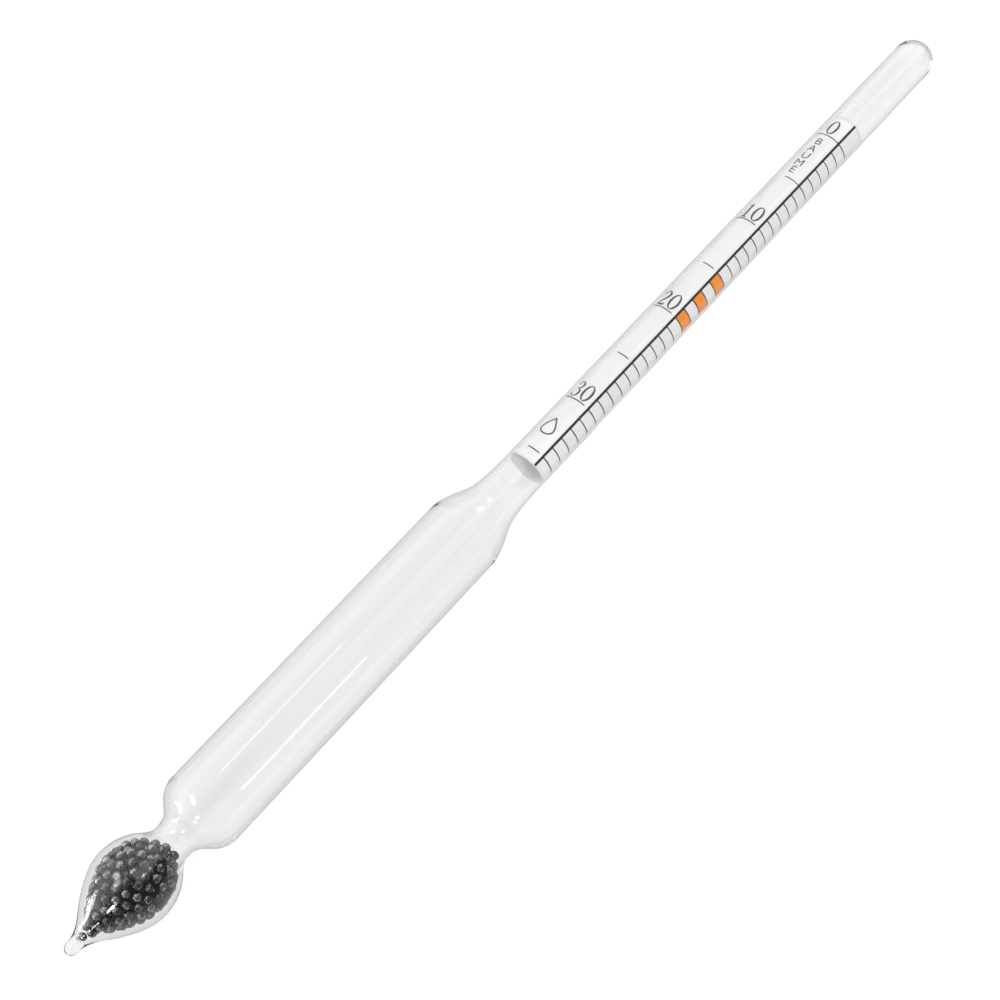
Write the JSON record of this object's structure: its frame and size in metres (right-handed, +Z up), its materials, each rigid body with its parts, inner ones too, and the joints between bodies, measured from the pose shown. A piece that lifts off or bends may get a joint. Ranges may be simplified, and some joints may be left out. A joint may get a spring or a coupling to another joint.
{
  "type": "hydrometer",
  "caption": "Blown-glass hydrometer with a shot-filled teardrop bulb, a cylindrical float and a paper degree scale rolled inside a thin round-ended stem.",
  "frame": {"origin": "on the resting surface, below the middle of the hydrometer's length and width, as it lies on its side", "axes": "+X along the glass from the ballast bulb to the round end of the stem, +Z up from the resting surface; the scale's main line faces up, leaning 29.4 degrees towards -Y"},
  "size_m": [0.275, 0.017, 0.017],
  "materials": {
    "glass": "gloss",
    "paper": "matte",
    "lead": "satin",
    "resin": "gloss"
  },
  "bodies": {
    "root": {"ballast_bulb": "glass", "ballast_cement": "resin", "float_tube": "glass", "lead_shot_layer_01": "lead", "lead_shot_layer_02": "lead", "lead_shot_layer_03": "lead", "lead_shot_layer_04": "lead", "lead_shot_layer_05": "lead", "lead_shot_layer_06": "lead", "lead_shot_layer_07": "lead", "lead_shot_layer_08": "lead", "lead_shot_layer_09": "lead", "lead_shot_layer_10": "lead", "lead_shot_layer_11": "lead", "lead_shot_layer_12": "lead", "lead_shot_layer_13": "lead", "lead_shot_layer_14": "lead", "lead_shot_layer_15": "lead", "scale_adhesive_bottom": "resin", "scale_adhesive_top": "resin", "scale_paper": "paper", "stem_tube": "glass"}
  },
  "joints": []
}
